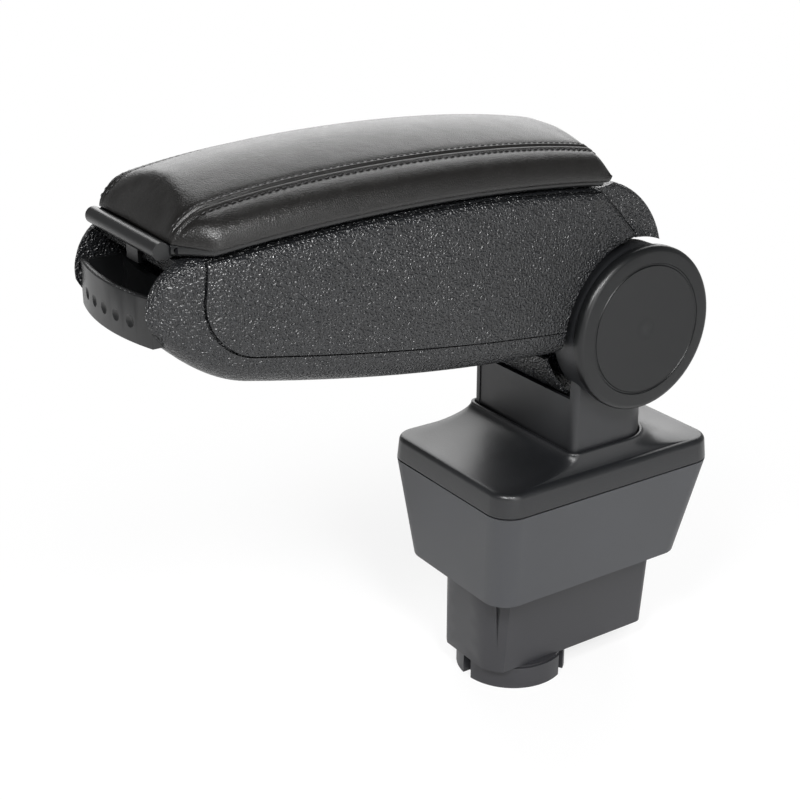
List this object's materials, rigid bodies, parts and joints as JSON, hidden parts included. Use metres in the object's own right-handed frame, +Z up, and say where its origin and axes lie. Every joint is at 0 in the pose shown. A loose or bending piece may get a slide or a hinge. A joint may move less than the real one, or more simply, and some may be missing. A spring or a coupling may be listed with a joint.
{
  "type": "car centre armrest",
  "caption": "Padded car centre armrest with storage bin and front tray, folding on a post above a tapered base that plugs into a cup holder.",
  "frame": {"origin": "centre of the cup plug's lower face", "axes": "+X forward along the arm, +Y to the left, +Z up along the plug's axis"},
  "size_m": [0.34, 0.121, 0.3315],
  "materials": {
    "base_plastic": "satin moulded",
    "cover_plastic": "fine grained",
    "post_plastic": "satin moulded",
    "grained_plastic": "pebble grained",
    "trim_plastic": "smooth satin",
    "liner_plastic": "matt",
    "leather": "fine grained, black",
    "rubber": "matt",
    "washer_plastic": "smooth",
    "steel": "zinc plated"
  },
  "bodies": {
    "base": {"console_insert": "base_plastic", "base_housing": "base_plastic", "housing_screws": "steel", "base_cover": "cover_plastic", "post_shell_left": "post_plastic", "post_shell_right": "post_plastic", "post_front_panel": "post_plastic", "post_rear_panel": "post_plastic", "pivot_bolt": "steel", "pivot_nut": "steel", "friction_washers": "washer_plastic", "pivot_cap_left": "post_plastic", "pivot_cap_right": "post_plastic"},
    "arm": {"arm_tub": "grained_plastic", "pivot_bushes": "washer_plastic", "side_panel_left": "grained_plastic", "side_panel_right": "grained_plastic", "rear_cover": "grained_plastic", "bin_liner": "liner_plastic", "rim_bumpers": "rubber", "lid_hinge_pin": "steel"},
    "tray": {"front_tray": "trim_plastic"},
    "lid": {"lid_base": "trim_plastic", "lid_cushion": "leather", "lever_pin": "steel"},
    "lever": {"latch_lever": "trim_plastic"}
  },
  "joints": [
    {"name": "arm_fold", "type": "hinge", "parent": "base", "child": "arm", "pos_m": [-0.0355, 0, 0.219], "axis": [0, -1, 0], "range_deg": [0, 80]},
    {"name": "lid_open", "type": "hinge", "parent": "arm", "child": "lid", "pos_m": [-0.017, 0, 0.2928], "axis": [0, -1, 0], "range_deg": [0, 70]},
    {"name": "lever_lift", "type": "hinge", "parent": "lid", "child": "lever", "pos_m": [0.2192, 0, 0.2993], "axis": [0, -1, 0], "range_deg": [0, 12], "stiffness_Nm_per_rad": 0.4, "springref_deg": -2.86},
    {"name": "tray_slide", "type": "slide", "parent": "arm", "child": "tray", "axis": [1, 0, 0], "range_m": [0, 0.04]}
  ]
}
